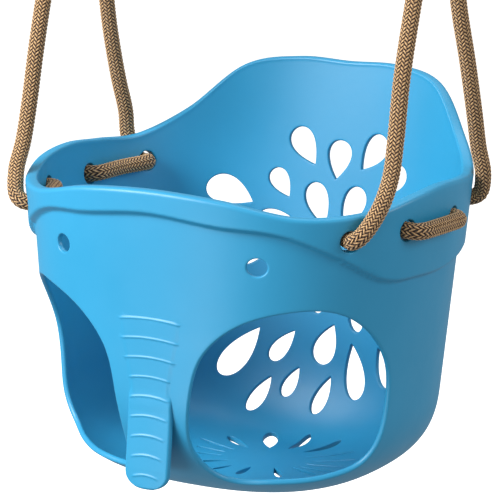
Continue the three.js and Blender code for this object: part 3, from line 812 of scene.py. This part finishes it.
def curve_through(points, spacing):
    """Even points of a centripetal Catmull-Rom curve through the given points."""
    points = np.asarray(points, dtype=float)
    full = np.vstack([2 * points[0] - points[1], points, 2 * points[-1] - points[-2]])
    chords = np.linalg.norm(np.diff(full, axis=0), axis=1) ** 0.5
    rows = []
    for k in range(len(points) - 1):
        p0, p1, p2, p3 = full[k:k + 4]
        t0, t1, t2, t3 = np.concatenate([[0], np.cumsum(chords[k:k + 3])])
        t = np.linspace(t1, t2, CURVE_STEPS, endpoint=False)[:, None]

        def between(a, b, start, end):
            return ((end - t) * a + (t - start) * b) / (end - start)

        first, middle, last = between(p0, p1, t0, t1), between(p1, p2, t1, t2), between(p2, p3, t2, t3)
        rows.append(between(between(first, middle, t0, t2), between(middle, last, t1, t3), t1, t2))
    line = np.vstack(rows + [points[-1:]])
    along = np.concatenate([[0], np.cumsum(np.linalg.norm(np.diff(line, axis=0), axis=1))])
    at = np.linspace(0, along[-1], int(round(along[-1] / spacing)) + 1)
    return np.stack([np.interp(at, along, line[:, k]) for k in range(3)], -1), at


def frames_along(line):
    """Two directions square to the line, carried along it without twist."""
    tangent = unit(np.gradient(line, axis=0))
    normals = [unit(np.cross(tangent[0], (1.0, 0.0, 0.0)))]
    for k in range(1, len(line)):
        normals.append(unit(normals[-1] - tangent[k] * np.dot(normals[-1], tangent[k])))
    return np.array(normals), np.cross(tangent, normals)


def tube_faces(count, sides, start):
    """Faces of a closed tube of rings, the first one at a given point."""
    faces = []
    for k in range(count - 1):
        faces += loop_faces(start + k * sides, start + (k + 1) * sides, sides)
    faces.append(tuple(start + j for j in reversed(range(sides))))
    faces.append(tuple(start + (count - 1) * sides + j for j in range(sides)))
    return faces


def leg_direction(leg, side):
    end = np.array(ROPE_ROUTE[0] if leg == "front" else ROPE_ROUTE[-1], dtype=float)
    return unit((end - (RING_X, RING_Y, RING_HEIGHT)) * (side, 1, 1))


def ring_centre(side):
    return np.array((side * RING_X, RING_Y, RING_HEIGHT))


def rope_ends(side, depth):
    """Where the rope goes into its two ferrules, by a depth inside the barrel's mouth."""
    return [ring_centre(side) + leg_direction(leg, side) * (BARREL_SPAN[1] - depth)
            for leg in ("front", "back")]


def strand_path(line, normal, binormal, along, way, strand):
    """Middle of one strand, which way is out from the rope, and its wave over and under."""
    crossing = BRAID_PITCH / (2 * BRAID_STRANDS)
    angle = 2 * math.pi * strand / BRAID_STRANDS + way * 2 * math.pi * along / BRAID_PITCH
    phase = 2 * strand + way * along / crossing - STRAND_STARTS[way]
    wave = np.tanh(STRAND_CROSSOVER * np.cos(math.pi / 2 * phase)) / math.tanh(STRAND_CROSSOVER)
    outward = normal * np.cos(angle)[:, None] + binormal * np.sin(angle)[:, None]
    return line + outward * (STRAND_RADIUS + STRAND_WAVE * wave)[:, None], outward, wave


def rope(side, name):
    """Rope as two ways of braided strands round a core, each point marked with its strand and with where
    its painted shade falls.
    """
    front, back = rope_ends(side, ROPE_IN_BARREL)
    middle = np.array(ROPE_ROUTE) * (side, 1, 1)
    line, along = curve_through(np.vstack([front, middle, back]), STRAND_STEP)
    normal, binormal = frames_along(line)
    points, faces, strand_marks = [], [], []
    total = 0
    count = len(line)
    section = turns(STRAND_SIDES) + math.pi / 2
    for way in (1, -1):
        for strand in range(BRAID_STRANDS):
            path, outward, wave = strand_path(line, normal, binormal, along, way, strand)
            heading = unit(np.gradient(path, axis=0))
            aside = unit(np.cross(heading, outward))
            strand_ring = (path[:, None]
                           + aside[:, None] * (STRAND_HALF_WIDTH * np.cos(section))[None, :, None]
                           + outward[:, None] * (STRAND_HALF_THICKNESS * np.sin(section))[None, :, None])
            points.append(strand_ring.reshape(-1, 3))
            faces += tube_faces(count, STRAND_SIDES, total)
            total += count * STRAND_SIDES
            mark = np.zeros((count, STRAND_SIDES, 3))
            mark[..., 0] = along[:, None] + STRAND_MARK * strand + WAY_MARK * way
            # The across position and the over-under wave set where the material paints shade on a strand.
            mark[..., 1] = np.cos(section)[None, :]
            mark[..., 2] = 0.5 + 0.5 * wave[:, None]
            strand_marks.append(mark.reshape(-1, 3))
    points.append(tube_points(line, normal, binormal, np.full(count, CORE_RADIUS), CORE_SIDES))
    faces += tube_faces(count, CORE_SIDES, total)
    # The core's mark gives it the darkest painted shade.
    strand_marks.append(np.full((count * CORE_SIDES, 3), CORE_MARK))
    piece = mesh_object(name, np.concatenate(points), faces)
    marks = piece.data.attributes.new("strand", "FLOAT_VECTOR", "POINT")
    marks.data.foreach_set("vector", np.concatenate(strand_marks).ravel())
    return piece, line, along[-1]


def tube_points(line, normal, binormal, radii, sides):
    turn = turns(sides)
    around = normal[:, None] * np.cos(turn)[None, :, None] + binormal[:, None] * np.sin(turn)[None, :, None]
    return (line[:, None] + radii[:, None, None] * around).reshape(-1, 3)


# ------------------------ metal fittings

def link_line(side):
    """Oval rod's middle from one side of the gap round to the other, with where it is on it."""
    radius = LINK_WIDTH / 2
    straight = LINK_LENGTH - LINK_WIDTH
    lap = straight + math.pi * radius
    along = np.linspace(LINK_GAP[1], 2 * lap + LINK_GAP[0], LINK_STEPS)
    within = (along + straight / 2) % lap
    way = np.where((along + straight / 2) // lap % 2 == 0, 1, -1)
    turn = np.maximum(within - straight, 0) / radius
    x = way * radius * np.cos(turn)
    z = way * (np.minimum(within, straight) - straight / 2 + radius * np.sin(turn))
    points = np.stack([side * (x + RING_X), 0 * x + RING_Y, z + LINK_HEIGHT], -1)
    return points, along


def link(side, name):
    """Open oval rod with a thread and a bevel at each side of its gap."""
    line, along = link_line(side)
    from_end = np.minimum(along - along[0], along[-1] - along)
    thread = THREAD_DEPTH * np.cos(2 * math.pi * from_end / THREAD_PITCH) - THREAD_DEPTH
    radii = LINK_WIRE / 2 + np.where(from_end < THREAD_LENGTH, thread, 0)
    radii = radii - LINK_TIP_BEVEL * np.clip(1 - from_end / LINK_TIP_LENGTH, 0, 1)
    normal, binormal = frames_along(line)
    points = tube_points(line, normal, binormal, radii, LINK_SIDES)
    piece = mesh_object(name, points, tube_faces(len(line), LINK_SIDES, 0))
    if side < 0:
        piece.data.flip_normals()
    return piece


def lathe(name, profile, sides, frame_at):
    """Closed body of revolution: profile rows are (radius, distance along its axis)."""
    turn = turns(sides)
    points = []
    for radius, along in profile:
        for angle in turn:
            points.append(frame_at(radius * math.cos(angle), radius * math.sin(angle), along))
    piece = mesh_object(name, points, wrapped_faces(len(profile), sides))
    face_outwards(piece)
    return piece


def face_outwards(piece):
    mesh = bmesh.new()
    mesh.from_mesh(piece.data)
    bmesh.ops.recalc_face_normals(mesh, faces=mesh.faces)
    mesh.to_mesh(piece.data)
    mesh.free()


def sleeve(side, name):
    """Hexagon sleeve with chamfered ends and a bore."""
    corner = SLEEVE_FLATS / math.sqrt(3)
    centre = np.array((side * (RING_X + LINK_WIDTH / 2), RING_Y, LINK_HEIGHT))
    turn = turns(SLEEVE_SIDES)
    sector = math.pi / 3
    hexagon = corner * math.cos(sector / 2) / np.cos((turn % sector) - sector / 2)
    hexagon = np.minimum(hexagon, corner - SLEEVE_CORNER_WEAR)
    low, high = SLEEVE_SPAN
    flats = np.linspace(low + SLEEVE_FLATS_FROM, high - SLEEVE_FLATS_FROM, SLEEVE_FLAT_ROWS)
    bore_inset, bore_radius = SLEEVE_BORE
    rows = [(low + inset, limit) for inset, limit in SLEEVE_END_ROWS]
    rows += [(height, math.inf) for height in flats]
    rows += [(high - inset, limit) for inset, limit in reversed(SLEEVE_END_ROWS)]
    rows += [(high - bore_inset, bore_radius), (low + bore_inset, bore_radius)]
    points = []
    for height, limit in rows:
        radius = np.minimum(hexagon, limit)
        points += [centre + (r * math.cos(a), r * math.sin(a), height) for r, a in zip(radius, turn)]
    piece = mesh_object(name, points, wrapped_faces(len(rows), SLEEVE_SIDES))
    face_outwards(piece)
    piece.data.set_sharp_from_angle(angle=math.radians(SLEEVE_SHARP_DEGREES))
    return piece


def ring(side, name):
    """Welded wire ring, with the weld's low bead at one side."""
    turn = turns(RING_STEPS)
    small = turns(RING_SIDES)
    away = np.abs((turn - math.radians(WELD_DEGREES) + math.pi) % (2 * math.pi) - math.pi)
    wire = RING_WIRE / 2 + WELD_RISE * np.exp(-(away * RING_RADIUS / WELD_WIDTH) ** 2)
    centre = ring_centre(side)
    radius = RING_RADIUS + wire[:, None] * np.cos(small)[None, :]
    points = np.stack([
        centre[0] + wire[:, None] * np.sin(small)[None, :],
        centre[1] + radius * np.cos(turn)[:, None],
        centre[2] + radius * np.sin(turn)[:, None],
    ], -1).reshape(-1, 3)
    piece = mesh_object(name, points, wrapped_faces(RING_STEPS, RING_SIDES))
    face_outwards(piece)
    return piece


def barrel_profile():
    """Radius and distance along the barrel: bevelled ends, grooves, and a mouth for the rope."""
    low, high = BARREL_SPAN
    radius = BARREL_RADIUS
    mouth = ROPE_DIAMETER / 2 + MOUTH_GAP
    profile = [(AXIS_RADIUS, low), (radius - 3.0, low), (radius - 1.2, low + 0.5)]
    profile += [(radius - 0.3, low + 1.4), (radius, low + 2.6), (radius, low + 6)]
    groove = low + 9
    while groove < high - 8:
        profile += [(radius - depth, groove + along) for along, depth in GROOVE_ROWS]
        groove += GROOVE_PITCH
    profile += [(radius, high - 4), (radius - 0.3, high - 1.6), (radius - 1.1, high - 0.5)]
    profile += [(radius - 2.2, high), (mouth + 0.25, high), (mouth, high - 0.5)]
    profile += [(mouth, high - MOUTH_DEPTH), (AXIS_RADIUS, high - MOUTH_DEPTH)]
    return profile


def lug_loops(mesh, at):
    """Outline and hole of the lug at four levels: the two faces and the bevels' foot."""
    half = LUG_WIDTH / 2
    root = BARREL_SPAN[0] + LUG_IN_BARREL
    middle = (RING_RADIUS + BARREL_SPAN[0]) / 2
    outline = []
    for k in range(LUG_STEPS + 1):
        angle = math.pi + math.pi * k / LUG_STEPS
        outline.append((half * math.cos(angle), RING_RADIUS + (RING_RADIUS - LUG_START) * math.sin(angle)))
    outline += [(half, root), (-half, root)]
    turn = turns(LUG_HOLE_SIDES)
    face = LUG_THICKNESS / 2
    levels = ((-face, -LUG_BEVEL), (-face + LUG_BEVEL, 0.0), (face - LUG_BEVEL, 0.0), (face, -LUG_BEVEL))
    loops = []
    for y, inset in levels:
        shrink = 1 + inset / half
        shorten = 1 + inset / LUG_HALF_LENGTH
        hole = LUG_HOLE_RADIUS - inset
        outer = [at(x * shrink, y, middle + (along - middle) * shorten) for x, along in outline]
        inner = [at(hole * math.cos(a), y, RING_RADIUS + hole * math.sin(a)) for a in turn]
        loops.append([[mesh.verts.new(place(point)) for point in points] for points in (outer, inner)])
    return loops


def lug(name, at):
    """Flat eye with bevelled edges, from the ring's wire to just inside the barrel."""
    mesh = bmesh.new()
    loops = lug_loops(mesh, at)
    for lower, upper in zip(loops[:-1], loops[1:]):
        for low_loop, high_loop in zip(lower, upper):
            vertices = low_loop + high_loop
            for face in loop_faces(0, len(low_loop), len(low_loop)):
                mesh.faces.new([vertices[k] for k in face])
    for level in (loops[0], loops[-1]):
        edges = []
        for loop in level:
            for k, vertex in enumerate(loop):
                other = loop[(k + 1) % len(loop)]
                edges.append(mesh.edges.get((vertex, other)))
        bmesh.ops.triangle_fill(mesh, use_beauty=True, edges=edges)
    bmesh.ops.recalc_face_normals(mesh, faces=mesh.faces)
    piece = bpy.data.objects.new(name, bpy.data.meshes.new(name))
    mesh.to_mesh(piece.data)
    mesh.free()
    piece.data.shade_smooth()
    bpy.context.scene.collection.objects.link(piece)
    return piece


def ferrule(side, leg, name):
    """Rope terminal: a grooved barrel on the rope and a flat eye on the ring's wire."""
    direction = leg_direction(leg, side)
    across = unit(np.array((1.0, 0.0, 0.0)) - direction * direction[0])
    tangent = np.cross(direction, across)
    centre = ring_centre(side)

    def at(x, y, along):
        return centre + across * x + tangent * y + direction * along

    barrel = lathe(name, barrel_profile(), BARREL_SIDES, at)
    mesh = joined_mesh(barrel, lug(name + "_lug", at), "EXACT")
    mesh.set_sharp_from_angle(angle=math.radians(TERMINAL_SHARP_DEGREES))
    return barrel


# ------------------------ materials

class Look:
    """A material with short ways to add to its node tree."""

    def __init__(self, name, color, roughness, metallic=0.0, **sockets):
        self.material = bpy.data.materials.new(name)
        self.material.use_nodes = True
        tree = self.material.node_tree
        self.nodes, self.links = tree.nodes, tree.links
        self.shader = tree.nodes["Principled BSDF"]
        values = {"Base Color": (*color, 1), "Roughness": roughness, "Metallic": metallic, **sockets}
        for socket, value in values.items():
            self.shader.inputs[socket.replace("_", " ")].default_value = value

    def add(self, kind, output, wires, values=(), **settings):
        """Add a node with its settings, wires and input values, and give one of its outputs."""
        node = self.nodes.new(kind)
        for key, value in settings.items():
            setattr(node, key, value)
        for socket, value in dict(values).items():
            node.inputs[socket].default_value = value
        for socket, source in wires.items():
            self.links.new(source, node.inputs[socket])
        return node.outputs[output]

    def set(self, socket, source):
        self.links.new(source, self.shader.inputs[socket])

    def position(self):
        return self.nodes.new("ShaderNodeTexCoord").outputs["Object"]

    def noise(self, coordinates, scale, detail=3.0, roughness=0.5):
        values = {"Scale": scale, "Detail": detail, "Roughness": roughness}
        return self.add("ShaderNodeTexNoise", "Fac", {"Vector": coordinates}, values)

    def between(self, value, low, high):
        return self.add("ShaderNodeMapRange", "Result", {"Value": value}, {"To Min": low, "To Max": high})

    def maths(self, operation, first, second):
        return self.add("ShaderNodeMath", "Value", {0: first, 1: second}, operation=operation)

    def bump(self, value, strength, distance, before=None):
        wires = {"Height": value} if before is None else {"Height": value, "Normal": before}
        return self.add("ShaderNodeBump", "Normal", wires, {"Strength": strength, "Distance": distance})

    def ramp(self, value, *stops):
        node = self.nodes.new("ShaderNodeValToRGB")
        elements = node.color_ramp.elements
        while len(elements) < len(stops):
            elements.new(0.5)
        for element, (position, color) in zip(elements, stops):
            element.position = position
            element.color = (*color, 1)
        self.links.new(value, node.inputs["Fac"])
        return node.outputs["Color"]


def plastic_material():
    """Moulded polyethylene: soft gloss, fine grain and slow colour drift."""
    look = Look("blue_plastic", (0.018, 0.26, 0.47), 0.42, IOR=1.5)
    position = look.position()
    drift = look.noise(position, 9, 4)
    look.set("Base Color", look.ramp(drift, (0.3, (0.015, 0.250, 0.455)), (0.7, (0.022, 0.272, 0.490))))
    look.set("Roughness", look.between(look.noise(position, 60, 5), 0.36, 0.50))
    peel = look.bump(look.noise(position, 160, 2), 0.10, 0.0006)
    look.set("Normal", look.bump(look.noise(position, 1900, 2), 0.16, 0.00012, peel))
    return look.material


def rope_material():
    """Braided polyester yarn: tan strands with fine lengthwise fibres, with painted shade between them, on
    their edges and where they dive under.
    """
    look = Look("tan_rope", (0.55, 0.36, 0.16), 0.72, Sheen_Weight=0.25, Sheen_Roughness=0.5)
    mark = look.add("ShaderNodeAttribute", "Vector", {}, attribute_name="strand")
    stretched = look.add(
        "ShaderNodeVectorMath", "Vector", {0: mark}, {1: (0.25, 5.0, 7.0)}, operation="MULTIPLY")
    fibre = look.noise(stretched, 1.6, 3)
    tone = look.ramp(
        fibre, (0.25, (0.32, 0.15, 0.05)), (0.5, (0.60, 0.37, 0.155)), (0.75, (0.84, 0.62, 0.35)))
    across = look.add("ShaderNodeSeparateXYZ", "Y", {"Vector": mark})
    wave = look.add("ShaderNodeSeparateXYZ", "Z", {"Vector": mark})
    # Painted shade: the yarn darkens where a strand dives under the other way's strands and towards each
    # strand's edges; the core, whose mark lies far below, takes the darkest colour.
    depth = look.maths("SUBTRACT", wave, look.maths("MULTIPLY", across, across))
    shade = look.ramp(depth, (0.1, (0.03, 0.017, 0.008)), (0.45, (0.24, 0.16, 0.10)), (0.85, (1, 1, 1)))
    mixed = look.add("ShaderNodeMix", 2, {6: tone, 7: shade}, data_type="RGBA", blend_type="MULTIPLY")
    mixed.node.inputs["Factor"].default_value = 1.0
    look.set("Base Color", mixed)
    look.set("Normal", look.bump(fibre, 0.5, 0.0004))
    return look.material


def black_metal_material():
    """Black coated steel: glossy, with slight orange peel and worn patches."""
    look = Look(
        "black_coated_steel", (0.012, 0.012, 0.014), 0.2, 0.35, Coat_Weight=0.5, Coat_Roughness=0.12)
    position = look.position()
    wear = look.noise(position, 220, 6, 0.6)
    look.set("Base Color", look.ramp(wear, (0.55, (0.012, 0.012, 0.014)), (0.78, (0.06, 0.06, 0.065))))
    look.set("Roughness", look.between(wear, 0.14, 0.34))
    look.set("Normal", look.bump(look.noise(position, 900, 2), 0.12, 0.0002))
    return look.material


def black_plastic_material():
    """Moulded black nylon of the rope terminals."""
    look = Look("black_nylon", (0.018, 0.018, 0.019), 0.38)
    position = look.position()
    drift = look.noise(position, 140, 4)
    look.set("Base Color", look.ramp(drift, (0.35, (0.014, 0.014, 0.015)), (0.75, (0.03, 0.03, 0.032))))
    look.set("Normal", look.bump(look.noise(position, 2200, 2), 0.2, 0.00012))
    return look.material


def floor_material():
    """Plain pale paper that glows a little, so that it stays white behind the swing."""
    look = Look("pale_floor", (0.9, 0.9, 0.9), 0.8, Emission_Color=(1, 1, 1, 1), Emission_Strength=0.75)
    drift = look.noise(look.position(), 3, 2)
    look.set("Base Color", look.ramp(drift, (0.3, (0.88, 0.88, 0.88)), (0.7, (0.92, 0.92, 0.92))))
    return look.material


# ------------------------ camera, light and floor

VIEW_AZIMUTH = 30
VIEW_ELEVATION = 12.63
VIEW_DISTANCE = 2.668
VIEW_HEIGHT = 195.2
VIEW_LENS = 230.6
SENSOR_WIDTH = 36
VIEW_REACH = 120

# Name, azimuth from the front, elevation, distance, size and power of each lamp
LIGHTS = (
    ("key", -34, 33, 2.6, 1.3, 115),
    ("top", 170, 68, 2.6, 1.6, 18),
    ("side", 100, 25, 2.8, 1.2, 30),
    ("bounce", -10, -20, 1.5, 0.5, 5),
)
LIGHTS_AIM_HEIGHT = 170
WORLD_STRENGTH = 0.4
FLOOR_HALF_SIZE = 40000
FLOOR_LEVEL = -450


def stand(thing, azimuth, elevation, distance, height):
    """Put a camera or lamp at an angle and a distance from a height on the middle, facing it."""
    turn, rise = math.radians(azimuth), math.radians(elevation)
    away = Vector((math.sin(turn) * math.cos(rise), -math.cos(turn) * math.cos(rise), math.sin(rise)))
    thing.location = Vector(place((0, 0, height))) + away * distance
    thing.rotation_euler = away.to_track_quat("Z", "Y").to_euler()
    bpy.context.scene.collection.objects.link(thing)


def make_camera():
    data = bpy.data.cameras.new("camera")
    data.lens = VIEW_LENS
    data.sensor_width = SENSOR_WIDTH
    data.clip_end = VIEW_REACH
    camera = bpy.data.objects.new("camera", data)
    stand(camera, VIEW_AZIMUTH, VIEW_ELEVATION, VIEW_DISTANCE, VIEW_HEIGHT)
    bpy.context.scene.camera = camera


def area_light(name, azimuth, elevation, distance, size, power):
    data = bpy.data.lights.new(name, "AREA")
    data.size = size
    data.energy = power
    stand(bpy.data.objects.new(name, data), azimuth, elevation, distance, LIGHTS_AIM_HEIGHT)


def make_stage():
    make_camera()
    for lamp in LIGHTS:
        area_light(*lamp)
    world = bpy.data.worlds.new("studio")
    world.use_nodes = True
    world.node_tree.nodes["Background"].inputs["Color"].default_value = (1, 1, 1, 1)
    world.node_tree.nodes["Background"].inputs["Strength"].default_value = WORLD_STRENGTH
    bpy.context.scene.world = world
    corners = [(x * FLOOR_HALF_SIZE, y * FLOOR_HALF_SIZE, FLOOR_LEVEL)
               for x, y in ((-1, -1), (1, -1), (1, 1), (-1, 1))]
    floor = mesh_object("floor", corners, [(0, 1, 2, 3)])
    floor.data.materials.append(floor_material())
    floor.visible_diffuse = False
    floor.visible_glossy = False
    bpy.context.scene.view_settings.view_transform = "Standard"


# ------------------------ build

make_stage()

plastic = plastic_material()
yarn = rope_material()
black_metal = black_metal_material()
black_plastic = black_plastic_material()


def finish_piece(piece, material, body, node):
    piece.data.materials.clear()
    piece.data.materials.append(material)
    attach(piece, body)
    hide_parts(node)


for side, name in ((1, "right"), (-1, "left")):
    for leg in ("front", "back"):
        part = ferrule(side, leg, f"{name}_{leg}_terminal")
        finish_piece(part, black_plastic, "swing", f"{name}_{leg}_ferrule")
    cord, line, length = rope(side, f"{name}_braided_rope")
    finish_piece(cord, yarn, "swing", f"{name}_rope")
    tuple(place(line[0]))
    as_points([tuple(point) for point in place(line[::CORD_PATH_STEP])] + [tuple(place(line[-1]))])
    finish_piece(link(side, f"{name}_quick_link"), black_metal, "hangers", f"{name}_link")
    finish_piece(sleeve(side, f"{name}_hex_sleeve"), black_metal, f"{name}_sleeve", f"{name}_link_sleeve")
    finish_piece(ring(side, f"{name}_wire_ring"), black_metal, "swing", f"{name}_ring")

finish_piece(bucket(), plastic, "swing", "bucket_shell")
